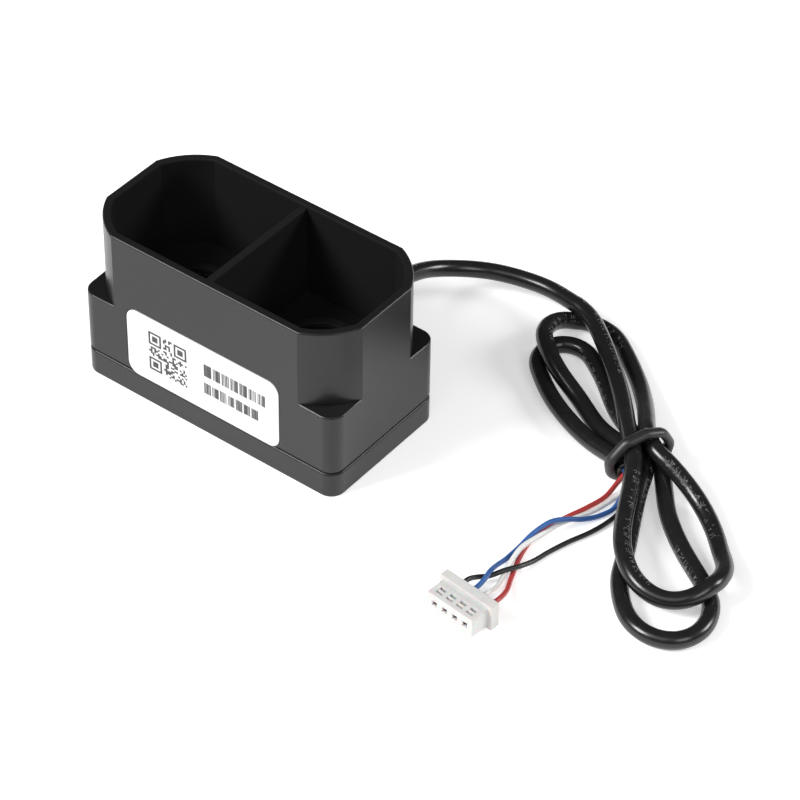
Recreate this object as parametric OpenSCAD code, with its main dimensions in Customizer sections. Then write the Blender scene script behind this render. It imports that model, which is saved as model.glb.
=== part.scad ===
// Fixed laser rangefinder module: a moulded body whose tall hood holds two deep optical wells,
// on a shallow base cover, with a bound hank of cable that ends in a four-way crimp plug.
// Millimetres. Origin at the centre of the mounting face, +X along the body, +Z out of the wells.

/* [Body] */
// Length of the body along X
body_l = 50; // [49:0.2:51]
// Width of the body along Y
body_w = 25.4; // [25:0.1:26]
// Height from the mounting face to the rim of the hood
body_h = 30; // [27:0.5:36]
// Radius of the block's upright corners
corner_r = 2.5; // [2:0.1:3]
// Height of the four corner ledges, where the block ends and the hood's corners begin
ledge_z = 16; // [15:0.25:18]
// Radius of the hood's large corners
hood_corner_r = 13.3; // [12.8:0.1:13.4]
// How far the hood's corner circles stand out past its flat faces
hood_corner_bulge = 1.1; // [1:0.05:1.2]
// Wall of the hood
hood_wall = 1.4; // [1.2:0.1:1.6]
// Wall of the electronics chamber
chamber_wall = 1.6; // [1.5:0.05:1.7]
// Divider between the two wells
divider_t = 1.4; // [1:0.1:2]
// How far the divider stops below the rim
divider_drop = 0.3; // [0:0.1:2]

/* [Base cover] */
// Height of the base cover's wall
base_h = 4.6; // [4.6:0.1:5]
// Floor of the base cover
base_floor = 1.6; // [1.4:0.1:1.8]
// Thickness of the gasket in the seam
gasket_t = 0.3; // [0.2:0.05:0.4]
// Distance between the two mounting holes
mount_spacing = 40; // [39.6:0.1:40.4]
// Radius of the mounting inserts' thread, as M3 tapped
mount_r = 1.25; // [1.2:0.01:1.3]
// Depth of the mounting inserts
mount_depth = 4; // [3.6:0.1:4]

/* [Optics] */
// Distance of each optical axis from the middle of the body
axis_x = 12.2; // [12:0.1:12.4]
// Radius of the emitter's lens barrel
emitter_barrel_r = 5.4; // [5:0.1:5.8]
// Radius of the receiver's lens barrel
receiver_barrel_r = 7; // [6.8:0.1:7.2]
// Radius of the emitter's lens
emitter_lens_r = 4.2; // [3.8:0.1:4.4]
// Radius of the receiver's lens
receiver_lens_r = 5.6; // [5.4:0.1:5.8]

/* [Label] */
// Length of the label
label_l = 30; // [26:0.5:32]
// Height of the label
label_h = 12.8; // [11:0.2:13]
// Radius of the label's corners
label_r = 2; // [1:0.1:3]

/* [Cable and plug] */
// Outer diameter of the cable's jacket
cable_d = 2.8; // [2.6:0.1:3]
// Outer diameter of each core wire
wire_d = 0.8; // [0.75:0.05:0.9]
// Distance between neighbouring terminals in the plug
plug_pitch = 2; // [1.9:0.05:2]
// Turn of the plug about the upright
plug_turn = -6; // [-8:1:-4]

/* [Hidden] */

$fn = 64;
eps = 0.01;
fit = 0.1;                                  // gap between parts that slide together
seam_z = base_h + gasket_t;                 // underside of the housing
deck_z = 13.4;                              // floor of the wells
deck_t = 1.4;
deck_under = deck_z - deck_t;
corner_screw = [body_l / 2 - 3.6, body_w / 2 - 3.5];
screw_r = 1;
pilot_r = 0.8;
pcb_size = [32.4, 20];
pcb_z = 3;
pcb_t = 1.2;
pcb_top = pcb_z + pcb_t;
pcb_screw = [14.6, 8.4];
pcb_screw_r = 0.8;
foam_t = 0.6;
insert_r = 2.3;
insert_boss_r = 3.2;
lip_t = 0.7;
tray_inset = chamber_wall + fit + lip_t;    // inner wall of the base cover's tray
label_at = [-0.6, 11.1];                    // middle of the label on the front face, x and z
label_recess = 0.1;
label_t = 0.15;
cable_exit = [6.5, 9];                      // where the cable leaves the rear wall, x and z
cable_start_y = 9.9;
grommet_neck_r = 2.1;
lens_edge = 0.9;                            // thickness of each lens at its edge
emitter_seat = 12.6;                        // height of the step that the emitter's lens rests on
receiver_seat = 12.4;
emitter_land = 0.6;                         // flat ring round each lens's dome
receiver_land = 0.7;
filter_t = 0.7;
filter_z = 9.2;
connector_at = [cable_exit[0], 7.8];
inner_lead_pitch = 1.25;
inner_lead_r = 0.25;

// Points of the cable from the board side of the rear wall to the hank
lead_route = [[6.5, 9.9, 9], [6.5, 14, 9], [6.5, 19.5, 9], [6.5, 25, 8.8], [6.4, 30, 7.6],
              [6.6, 34, 6], [7.5, 38, 4], [9.6, 42, 2.4], [12.6, 44.6, 1.6], [16.8, 46.2, 1.4],
              [21.2, 46.7, 1.4], [25, 46, 1.8], [28.3, 44.3, 3.4]];
hank_h = 5.6;                               // two turns of cable lying on each other
tie_at = [57.3, 21.3];                      // middle of the tie
tie_turn = -23;                             // heading of the bundle through the tie
tie_wire = 1.4;                             // thickness of the band
bundle = [8.4, 5.6];                        // width and height of five strands, three below two
tie_l = 2.4;                                // length of the band along the bundle

// Points of the four cores, from the end of the jacket to the plug
black_route = [[57.6, 18.5, 3.2], [58.9, 17.3, 2.7], [59.8, 15.8, 1.7], [60.3, 14, 0.9],
               [60.5, 12, 0.5], [60.2, 8.4, 0.45], [59.4, 5.2, 0.45], [58.2, 2, 0.45],
               [57.2, -1.4, 0.45], [56.5, -5, 0.6], [55.9, -7.6, 1.2], [54.9, -9.8, 1.5],
               [53.7, -11.8, 1.2], [52.6, -13.4, 1.5]];
blue_route = [[57.2, 17.7, 3.2], [58.6, 16.2, 2.7], [59.2, 14.2, 1.5], [59.3, 12, 0.5],
              [58.4, 9.2, 0.45], [57.2, 6.8, 0.9], [55.9, 4.6, 1.8], [54.6, 2.4, 2.2],
              [53.5, -0.6, 1.4], [53.1, -3.8, 0.5], [53.1, -7, 0.6], [53.3, -9.6, 1.4],
              [53.8, -12, 2.3], [54.2, -13.6, 2.4]];
white_route = [[57.6, 18.5, 2.3], [58.2, 16.8, 1.6], [58.3, 14.8, 0.6], [57.9, 12.8, 0.45],
               [57.3, 10, 0.45], [56.1, 6.6, 0.7], [55.2, 3.8, 1], [54.6, 1, 1],
               [54.2, -1.8, 1.3], [54, -4.4, 1.5], [54.3, -7, 1.2], [55, -10, 0.8],
               [55.9, -13, 1.2]];
red_route = [[57.2, 17.7, 2.3], [57, 15.9, 1.4], [56.8, 13.4, 0.5], [56, 9.8, 0.45],
             [54.9, 6.4, 0.45], [53.9, 3, 0.45], [53.5, -0.4, 0.45], [54, -3.8, 0.45],
             [55, -7, 0.45], [56.2, -10, 0.5], [57.6, -13, 1.3]];

plug_at = [50, -22.3];                      // front corner of the plug's body on the surface
plug_body = [9, 3.4, 3.4];
plug_flange = [10.4, 1.7, 4.5];
plug_lift = 0.5;                            // underside of the body above the flange's foot
plug_axis_z = 2.2;                          // height of the terminals' axes
plug_wall_u = (plug_body[0] - 3 * plug_pitch) / 2;
plug_back = plug_body[1] + plug_flange[1];
cavity = [1.5, 1.7];
crimp_depth = 1;                            // from the plug's back to the end of each crimp

function plug_u(way) = plug_wall_u + way * plug_pitch;
function plug_point(u, v, z) = [plug_at[0] + u * cos(plug_turn) - v * sin(plug_turn),
                                plug_at[1] + u * sin(plug_turn) + v * cos(plug_turn), z];
function wire_points(route, way) = concat(route,
    [for (v = [plug_back + 2.3, plug_back + 0.4, plug_back - crimp_depth])
        plug_point(plug_u(way), v, plug_axis_z)]);

// ---- helpers ----

module both_ends() { for (side = [-1, 1]) scale([side, 1, 1]) children(); }

module at_corners(at) {
    for (x = [-1, 1], y = [-1, 1]) translate([x * at[0], y * at[1], 0]) children();
}

module rounded_rect(l, w, r) {
    square([l - 2 * r, w], center = true);
    square([l, w - 2 * r], center = true);
    for (x = [-1, 1], y = [-1, 1]) translate([x * (l / 2 - r), y * (w / 2 - r)]) circle(r);
}

// Plan of the block, brought in by inset on every side
module block_plan(inset = 0) {
    rounded_rect(body_l - 2 * inset, body_w - 2 * inset, max(corner_r - inset, 0.5));
}

// Plan of the hood: flat faces in line with the block's, and large corners that meet them at a
// slight crease because their circles stand a little proud
module hood_plan(inset = 0) {
    proud = 2 * (hood_corner_bulge - inset);
    intersection() {
        square([body_l - 2 * inset, body_w - 2 * inset], center = true);
        rounded_rect(body_l + proud, body_w + proud, hood_corner_r - inset);
    }
}

module slab(z_low, z_high) { translate([0, 0, z_low]) linear_extrude(z_high - z_low) children(); }

module rod(r, z_low, z_high) { translate([0, 0, z_low]) cylinder(r = r, h = z_high - z_low); }

// A round bar from point a to point b
module bar(a, b, r) {
    d = b - a;
    translate(a) rotate([0, acos(d[2] / norm(d)), atan2(d[1], d[0])]) cylinder(r = r, h = norm(d));
}

// A round tube swept along a route: a ring of corners across each point, joined by quads
module swept_tube(points, d, sides = 8) {
    n = len(points);
    along = [for (i = [0:n - 1]) let (v = points[min(i + 1, n - 1)] - points[max(i - 1, 0)])
             v / norm(v)];
    across = [for (t = along) let (s = cross(t, [0, 0, 1])) s / norm(s)];
    corners = [for (i = [0:n - 1], k = [0:sides - 1])
               let (a = (k + 0.5) * 360 / sides, up = cross(across[i], along[i]))
               points[i] + d / 2 * (cos(a) * across[i] + sin(a) * up)];
    walls = [for (i = [0:n - 2], k = [0:sides - 1]) let (j = (k + 1) % sides)
             [i * sides + k, i * sides + j, (i + 1) * sides + j, (i + 1) * sides + k]];
    start = [for (k = [sides - 1:-1:0]) k];
    finish = [for (k = [0:sides - 1]) (n - 1) * sides + k];
    polyhedron(points = corners, faces = concat(walls, [start, finish]));
}

// ---- body ----

module well_plan(side) {
    intersection() {
        hood_plan(hood_wall);
        translate([side * (divider_t + body_l) / 2, 0]) square([body_l, body_w], center = true);
    }
}

// One moulding: block, hood, the deck between wells and chamber, the divider and the corner posts
module housing() {
    post_r = 2.4;
    barrier_z = pcb_top + foam_t;
    color([0.07, 0.07, 0.075]) difference() {
        union() {
            difference() {
                union() {
                    slab(seam_z, ledge_z) block_plan();
                    slab(ledge_z - eps, body_h) hood_plan();
                }
                slab(seam_z - 1, deck_under) block_plan(chamber_wall);
                slab(deck_z, body_h - divider_drop) for (side = [-1, 1]) well_plan(side);
                slab(body_h - divider_drop, body_h + 1) hood_plan(hood_wall);
            }
            slab(seam_z, deck_under + eps) intersection() {
                block_plan(chamber_wall - 0.2);
                at_corners(corner_screw) circle(post_r);
            }
            translate([-divider_t / 2, -body_w / 2 + chamber_wall - eps, barrier_z])
                cube([divider_t, body_w - 2 * chamber_wall + 2 * eps, deck_under - barrier_z + eps]);
        }
        at_corners(corner_screw) rod(pilot_r, seam_z - 1, seam_z + 5);
        translate([-axis_x, 0, 0]) rod(emitter_barrel_r, deck_under - 1, deck_z + 1);
        translate([axis_x, 0, 0]) rod(receiver_barrel_r, deck_under - 1, deck_z + 1);
        translate([cable_exit[0], body_w / 2 - chamber_wall - 1, cable_exit[1]]) rotate([-90, 0, 0])
            cylinder(r = grommet_neck_r, h = chamber_wall + 2);
        translate([0, -body_w / 2 + label_recess, 0]) rotate([90, 0, 0])
            linear_extrude(1) label_plan();
    }
}

// Tray with a lip that locates it in the housing
module base_cover() {
    color([0.07, 0.07, 0.075]) difference() {
        union() {
            difference() {
                slab(0, base_h) block_plan();
                slab(base_floor, base_h + 1) block_plan(tray_inset);
            }
            difference() {
                slab(base_h - eps, seam_z + 0.8) block_plan(chamber_wall + fit);
                slab(base_h - 1, seam_z + 2) block_plan(tray_inset);
                at_corners(corner_screw) rod(2.6, base_h, seam_z + 2);
            }
            slab(base_floor - eps, base_h) intersection() {
                block_plan(0.5);
                at_corners(corner_screw) circle(2.4);
            }
            both_ends() translate([mount_spacing / 2, 0, 0])
                rod(insert_boss_r, base_floor - eps, mount_depth + 1.4);
            at_corners(pcb_screw) rod(1.5, base_floor - eps, pcb_z);
        }
        at_corners(corner_screw) rod(screw_r + fit, -1, base_h + 1);
        at_corners(corner_screw) rod(1.9, -1, 1.1);
        both_ends() translate([mount_spacing / 2, 0, 0]) rod(insert_r, -1, mount_depth);
        at_corners(pcb_screw) rod(pcb_screw_r, 0.7, pcb_z + 1);
    }
}

module base_gasket() {
    color([0.03, 0.03, 0.03]) slab(base_h, seam_z) difference() {
        block_plan(0.35);
        block_plan(chamber_wall);
    }
}

// Recessed pan-head screws from below, one at each corner
module base_screws() {
    color([0.6, 0.6, 0.62]) at_corners(corner_screw) difference() {
        union() {
            rod(1.8, 0.1, 1.1);
            rod(screw_r - fit * 2, 1.1 - eps, seam_z + 4);
        }
        translate([0, 0, -0.4]) cylinder(r = 0.8, h = 1, $fn = 6);
    }
}

module mounting_inserts() {
    color([0.75, 0.6, 0.3]) both_ends() translate([mount_spacing / 2, 0, 0]) difference() {
        rod(insert_r, 0, mount_depth);
        rod(mount_r, -1, mount_depth + 1);
    }
}

module label_plan() { translate(label_at) rounded_rect(label_l, label_h, label_r); }

module label() {
    color([0.93, 0.93, 0.92]) translate([0, -body_w / 2 + label_recess, 0]) rotate([90, 0, 0])
        linear_extrude(label_t) label_plan();
}

// ---- electronics ----

module main_pcb() {
    color([0.05, 0.25, 0.12]) difference() {
        slab(pcb_z, pcb_top) rounded_rect(pcb_size[0], pcb_size[1], 1);
        at_corners(pcb_screw) rod(pcb_screw_r + fit / 2, 0, pcb_top + 1);
    }
}

module pcb_screws() {
    color([0.6, 0.6, 0.62]) at_corners(pcb_screw) difference() {
        union() {
            rod(1.3, pcb_top, pcb_top + 0.8);
            rod(pcb_screw_r - fit / 2, 0.9, pcb_top + eps);
        }
        translate([0, 0, pcb_top + 0.4]) cylinder(r = 0.6, h = 1, $fn = 6);
    }
}

// A flat package standing on the board, with its middle at x, y
module package(at, size) {
    translate([at[0], at[1], pcb_top + size[2] / 2]) cube(size, center = true);
}

module laser_emitter() {
    color([0.8, 0.75, 0.6]) difference() {
        package([-axis_x, 0], [3.4, 3.4, 1.3]);
        translate([-axis_x, 0, 0]) rod(1.2, pcb_top + 1, pcb_top + 2);
    }
}

module laser_driver() { color([0.1, 0.1, 0.1]) package([-axis_x, -5.2], [4, 4, 0.8]); }

module photodetector() {
    color([0.8, 0.75, 0.5]) translate([axis_x, 0, 0]) difference() {
        union() {
            rod(2.7, pcb_top, pcb_top + 0.5);
            rod(2.3, pcb_top + 0.4, pcb_top + 2.6);
        }
        rod(1.2, pcb_top + 2.2, pcb_top + 3);
    }
}

module detector_shield() {
    wall = 0.3;
    color([0.7, 0.7, 0.72]) difference() {
        package([axis_x, 0], [8, 8.6, 2.4]);
        package([axis_x, 0], [8 - 2 * wall, 8.6 - 2 * wall, 2.4 - wall]);
        translate([axis_x, 0, 0]) rod(2.5, pcb_top + 1, pcb_top + 3);
    }
}

module signal_processor() { color([0.1, 0.1, 0.1]) package([-3.6, 0], [5, 5, 0.9]); }

module power_inductor() { color([0.25, 0.25, 0.27]) package([-3.6, 6.4], [4, 4, 1.8]); }

module chip_capacitors() {
    color([0.6, 0.5, 0.4]) for (i = [0:4]) {
        package([-9.4 + 1.6 * i, -8.4], [0.8, 1.6, 0.8]);
        package([3.2, -7.6 + 2.2 * i], [1.6, 0.8, 0.8]);
    }
}

module board_connector() {
    color([0.85, 0.83, 0.75]) difference() {
        package(connector_at, [6.4, 3.6, 3.2]);
        for (i = [0:3]) translate([connector_at[0] + (i - 1.5) * inner_lead_pitch, connector_at[1], 0])
            rod(0.5, pcb_top + 2.4, pcb_top + 4);
    }
}

// Four short cores from the end of the jacket down into the board's connector
module inner_leads() {
    color([0.2, 0.2, 0.2]) for (i = [0:3]) {
        bar([cable_exit[0] + (i - 1.5) * 0.6, cable_start_y, cable_exit[1]],
            [connector_at[0] + (i - 1.5) * inner_lead_pitch, connector_at[1], pcb_top + 2.5],
            inner_lead_r);
    }
}

// Foam strip that seals the divider down onto the board
module baffle_foam() {
    color([0.05, 0.05, 0.05]) translate([-divider_t / 2, -pcb_size[1] / 2, pcb_top])
        cube([divider_t, pcb_size[1], foam_t]);
}

// ---- optics ----

// Threaded sleeve in the deck: a seat for the lens, and a narrower stop below it
module barrel(r, z_low, z_seat, z_high, stop_r, lens_r) {
    difference() {
        rod(r, z_low, z_high);
        rod(stop_r, z_low - 1, z_high + 1);
        rod(lens_r, z_seat, z_high + 1);
    }
}

// Plano-convex lens: flat below, a flat land round its edge, and a dome of the given rise
module lens(r, z_seat, dome_r, rise) {
    ball = (dome_r * dome_r + rise * rise) / (2 * rise);
    rod(r - 0.05, z_seat, z_seat + lens_edge);
    intersection() {
        translate([0, 0, z_seat + lens_edge + rise - ball]) sphere(r = ball);
        rod(dome_r, z_seat + lens_edge - 0.2, z_seat + lens_edge + rise + 1);
    }
}

module retainer(lens_r, dome_r, z_low) {
    difference() {
        rod(lens_r, z_low, z_low + 0.8);
        rod(dome_r + 0.1, z_low - 1, z_low + 2);
        for (a = [0, 180]) rotate(a) translate([dome_r, -0.4, z_low + 0.4]) cube([2, 0.8, 1]);
    }
}

module emitter_barrel() {
    color([0.08, 0.08, 0.09]) translate([-axis_x, 0, 0])
        barrel(emitter_barrel_r, 9.8, emitter_seat, 15.2, emitter_lens_r - 0.8, emitter_lens_r);
}

module emitter_lens() {
    color([0.6, 0.65, 0.75]) translate([-axis_x, 0, 0])
        lens(emitter_lens_r, emitter_seat, emitter_lens_r - emitter_land, 1.4);
}

module emitter_retainer() {
    color([0.1, 0.1, 0.1]) translate([-axis_x, 0, 0])
        retainer(emitter_lens_r, emitter_lens_r - emitter_land, emitter_seat + lens_edge);
}

module receiver_barrel() {
    color([0.08, 0.08, 0.09]) translate([axis_x, 0, 0]) difference() {
        barrel(receiver_barrel_r, filter_z, receiver_seat, 15.6, receiver_lens_r - 1.4,
               receiver_lens_r);
        rod(receiver_lens_r - 1, filter_z - 1, filter_z + filter_t);
    }
}

module receiver_filter() {
    color([0.25, 0.05, 0.1]) translate([axis_x, 0, 0])
        rod(receiver_lens_r - 1, filter_z, filter_z + filter_t);
}

module receiver_lens() {
    color([0.6, 0.65, 0.75]) translate([axis_x, 0, 0])
        lens(receiver_lens_r, receiver_seat, receiver_lens_r - receiver_land, 1.8);
}

module receiver_retainer() {
    color([0.1, 0.1, 0.1]) translate([axis_x, 0, 0])
        retainer(receiver_lens_r, receiver_lens_r - receiver_land, receiver_seat + lens_edge);
}

// ---- cable ----

// Rubber bush in the rear wall with a short tapered nose over the jacket
module cable_grommet() {
    wall_in = body_w / 2 - chamber_wall;
    wall_out = body_w / 2;
    color([0.06, 0.06, 0.06]) translate([cable_exit[0], 0, cable_exit[1]]) rotate([-90, 0, 0])
        rotate_extrude() polygon([
            [cable_d / 2, wall_in - 0.8], [2.9, wall_in - 0.8], [2.9, wall_in],
            [grommet_neck_r, wall_in], [grommet_neck_r, wall_out], [3, wall_out],
            [3, wall_out + 0.9], [2.5, wall_out + 0.9], [1.9, wall_out + 6.3],
            [cable_d / 2, wall_out + 6.3]]);
}

module cable_lead() { color([0.08, 0.08, 0.09]) swept_tube(lead_route, cable_d); }

// Two turns of cable lying flat, taken as one solid: a loop each side of a bound waist
module cable_hank() {
    color([0.08, 0.08, 0.09]) union() {
        linear_extrude(hank_h) hull() {
            translate([61.6, 19]) circle(2.6, $fn = 32);
            translate([64.8, 11.4]) circle(2.4, $fn = 32);
            translate([69.6, 0.4]) circle(4, $fn = 32);
            translate([76, -1.2]) circle(7, $fn = 32);
            translate([80, 0.6]) circle(7, $fn = 32);
            translate([80, 11.4]) circle(4, $fn = 32);
            translate([66, 20.6]) circle(3, $fn = 32);
        }
        linear_extrude(hank_h) hull() {
            translate([51.6, 23.2]) circle(4, $fn = 32);
            translate([33.4, 31]) circle(4.6, $fn = 32);
            translate([31, 39.8]) circle(4.8, $fn = 32);
            translate([38, 41.6]) circle(3, $fn = 32);
            translate([48.6, 34.6]) circle(3, $fn = 32);
        }
        translate([tie_at[0], tie_at[1], tie_wire + bundle[1] / 2]) rotate(tie_turn)
            cube([12, bundle[0], bundle[1]], center = true);
    }
}

// Closed rubber band round the waist of the hank
module cable_tie() {
    color([0.04, 0.04, 0.04]) translate([tie_at[0], tie_at[1], 0]) rotate(tie_turn)
        rotate([90, 0, 90]) translate([0, 0, -tie_l / 2]) linear_extrude(tie_l) difference() {
            translate([0, tie_wire + bundle[1] / 2])
                rounded_rect(bundle[0] + 2 * tie_wire, bundle[1] + 2 * tie_wire, 2.4);
            translate([0, tie_wire + bundle[1] / 2]) square(bundle, center = true);
        }
}

module core_wire(route, way) { swept_tube(wire_points(route, way), wire_d); }

module wire_black() { color([0.06, 0.06, 0.06]) core_wire(black_route, 0); }

module wire_blue() { color([0.2, 0.4, 0.7]) core_wire(blue_route, 1); }

module wire_white() { color([0.9, 0.9, 0.88]) core_wire(white_route, 2); }

module wire_red() { color([0.75, 0.2, 0.2]) core_wire(red_route, 3); }

// ---- plug ----

module on_plug() { translate([plug_at[0], plug_at[1], 0]) rotate(plug_turn) children(); }

module plug_housing() {
    color([0.9, 0.9, 0.88]) on_plug() difference() {
        union() {
            translate([0, 0, plug_lift]) cube(plug_body);
            translate([(plug_body[0] - plug_flange[0]) / 2, plug_body[1] - eps, 0])
                cube([plug_flange[0], plug_flange[1] + eps, plug_flange[2]]);
        }
        for (way = [0:3]) translate([plug_u(way), 0, plug_axis_z]) {
            translate([-cavity[0] / 2, 0.6, -cavity[1] / 2]) cube([cavity[0], 8, cavity[1]]);
            translate([-0.45, -1, -0.45]) cube([0.9, 3, 0.9]);
            translate([-0.6, 0.9, 0]) cube([1.2, 1.3, 3]);
        }
    }
}

// Crimped sockets: a folded box at the front and a barrel closed on the wire behind
module plug_terminals() {
    box_l = 1.8;
    color([0.75, 0.75, 0.77]) on_plug() for (way = [0:3]) translate([plug_u(way), 0, plug_axis_z]) {
        difference() {
            translate([-0.6, 0.7, -0.7]) cube([1.2, box_l, 1.4]);
            translate([-0.4, 0.6, -0.45]) cube([0.8, box_l, 0.9]);
        }
        translate([0, 0.6 + box_l, 0]) rotate([-90, 0, 0])
            cylinder(r = 0.5, h = plug_back - crimp_depth - box_l - 0.6);
    }
}

housing();
base_cover();
base_gasket();
base_screws();
mounting_inserts();
label();
main_pcb();
pcb_screws();
laser_emitter();
laser_driver();
photodetector();
detector_shield();
signal_processor();
power_inductor();
chip_capacitors();
board_connector();
inner_leads();
baffle_foam();
emitter_barrel();
emitter_lens();
emitter_retainer();
receiver_barrel();
receiver_filter();
receiver_lens();
receiver_retainer();
cable_grommet();
cable_lead();
cable_hank();
cable_tie();
wire_black();
wire_blue();
wire_white();
wire_red();
plug_housing();
plug_terminals();
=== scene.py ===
import math

import bmesh
import bpy
import numpy as np
from mathutils import Matrix, Quaternion, Vector


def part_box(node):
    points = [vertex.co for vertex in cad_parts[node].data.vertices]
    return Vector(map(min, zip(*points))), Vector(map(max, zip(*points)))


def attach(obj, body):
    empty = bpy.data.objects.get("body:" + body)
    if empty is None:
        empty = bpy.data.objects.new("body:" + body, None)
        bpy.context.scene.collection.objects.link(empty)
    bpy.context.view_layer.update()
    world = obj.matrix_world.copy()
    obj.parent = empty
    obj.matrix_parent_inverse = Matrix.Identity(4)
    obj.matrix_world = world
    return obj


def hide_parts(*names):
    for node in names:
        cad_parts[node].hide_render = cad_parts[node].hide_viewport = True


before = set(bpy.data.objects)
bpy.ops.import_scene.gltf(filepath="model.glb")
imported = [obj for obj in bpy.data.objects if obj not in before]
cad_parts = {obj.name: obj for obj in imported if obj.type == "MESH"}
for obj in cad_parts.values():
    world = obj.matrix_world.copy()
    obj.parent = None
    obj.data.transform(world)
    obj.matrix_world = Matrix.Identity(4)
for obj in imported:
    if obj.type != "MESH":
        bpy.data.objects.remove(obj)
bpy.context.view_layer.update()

MM = 0.001
BODY = "root"
CABLE_D = 2.8 * MM                      # across the cable's jacket
CORE_D = 0.8 * MM                       # across each core's insulation

# ---- camera ----

CAMERA_AIM = Vector((27.1, 0.7, 12.5)) * MM
CAMERA_AZIMUTH = math.radians(37.2)
CAMERA_ELEVATION = math.radians(41.58)
CAMERA_ROLL = math.radians(0.85)
CAMERA_DISTANCE = 542.5 * MM
CAMERA_LENS = 161.75


def make_camera():
    level = math.cos(CAMERA_ELEVATION)
    back = Vector((math.sin(CAMERA_AZIMUTH) * level, -math.cos(CAMERA_AZIMUTH) * level,
                   math.sin(CAMERA_ELEVATION)))
    camera = bpy.data.objects.new("camera", bpy.data.cameras.new("camera"))
    bpy.context.scene.collection.objects.link(camera)
    bpy.context.scene.camera = camera
    camera.data.sensor_width = 36
    camera.data.lens = CAMERA_LENS
    camera.data.clip_start = 0.02
    camera.location = CAMERA_AIM + back * CAMERA_DISTANCE
    camera.rotation_mode = "QUATERNION"
    camera.rotation_quaternion = ((-back).to_track_quat("-Z", "Y")
                                  @ Quaternion((0, 0, 1), CAMERA_ROLL))


make_camera()


# ---- node trees ----

class Term:
    """A node's output, on which Python's arithmetic adds Math nodes."""

    def __init__(self, tree, node, socket):
        self.tree = tree
        self.node = node
        self.socket = socket

    def output(self, name):
        return Term(self.tree, self.node, self.node.outputs[name])

    def __add__(self, other):
        return self.tree.maths("ADD", self, other)

    def __radd__(self, other):
        return self.tree.maths("ADD", other, self)

    def __sub__(self, other):
        return self.tree.maths("SUBTRACT", self, other)

    def __rsub__(self, other):
        return self.tree.maths("SUBTRACT", other, self)

    def __mul__(self, other):
        return self.tree.maths("MULTIPLY", self, other)

    def __rmul__(self, other):
        return self.tree.maths("MULTIPLY", other, self)

    def __truediv__(self, other):
        return self.tree.maths("DIVIDE", self, other)

    def __gt__(self, other):
        return self.tree.maths("GREATER_THAN", self, other)

    def __lt__(self, other):
        return self.tree.maths("LESS_THAN", self, other)

    def __mod__(self, other):
        return self.tree.maths("FLOORED_MODULO", self, other)

    def floor(self):
        return self.tree.maths("FLOOR", self)

    def size(self):
        return self.tree.maths("ABSOLUTE", self)

    def part(self, axis):
        return self.tree.node("ShaderNodeSeparateXYZ", {}, {0: self}, axis)


class Tree:
    """A shader or geometry tree, with one method that adds any node to it."""

    def __init__(self, tree):
        self.tree = tree

    def node(self, kind, settings=None, sockets=None, out=0):
        made = self.tree.nodes.new(kind)
        for key, value in (settings or {}).items():
            if key == "stops":
                self.set_stops(made.color_ramp, value)
            else:
                setattr(made, key, value)
        for key, value in (sockets or {}).items():
            terms = value if isinstance(value, list) else [value]
            for term in terms:
                if isinstance(term, Term):
                    self.tree.links.new(term.socket, made.inputs[key])
                else:
                    made.inputs[key].default_value = term
        return Term(self, made, made.outputs[out] if made.outputs else None)

    @staticmethod
    def set_stops(ramp, stops):
        while len(ramp.elements) < len(stops):
            ramp.elements.new(0.5)
        for element, (place, colour) in zip(ramp.elements, stops):
            element.position = place
            element.color = colour

    def maths(self, operation, *values):
        return self.node("ShaderNodeMath", {"operation": operation}, dict(enumerate(values)))


def grey(value):
    return (value, value, value, 1)


class Paint(Tree):
    """A material: its coordinates, its patterns and its shader."""

    def __init__(self, name):
        self.material = bpy.data.materials.new(name)
        self.material.use_nodes = True
        super().__init__(self.material.node_tree)
        self.tree.nodes.clear()
        self.place = self.node("ShaderNodeTexCoord").output("Object")

    def noise(self, size, detail=3, stretch=None, place=None):
        """Noise from 0 to 1 with features of about this size in metres."""
        place = place or self.place
        if stretch:
            place = self.node("ShaderNodeMapping", {}, {"Vector": place, "Scale": stretch})
        return self.node("ShaderNodeTexNoise", {},
                         {"Vector": place, "Scale": 1 / size, "Detail": detail})

    def mix(self, factor, first, second):
        return self.node("ShaderNodeMix", {"data_type": "RGBA"},
                         {0: factor, 6: first, 7: second}, 2)

    def bump(self, height, depth):
        """A normal from a height of 0 to 1 that stands for this depth in metres."""
        return self.node("ShaderNodeBump", {}, {"Height": height, "Distance": depth})

    def finish(self, **sockets):
        shader = self.node("ShaderNodeBsdfPrincipled", {},
                           {key.replace("_", " "): value for key, value in sockets.items()})
        self.node("ShaderNodeOutputMaterial", {}, {"Surface": shader})
        return self.material


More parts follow.
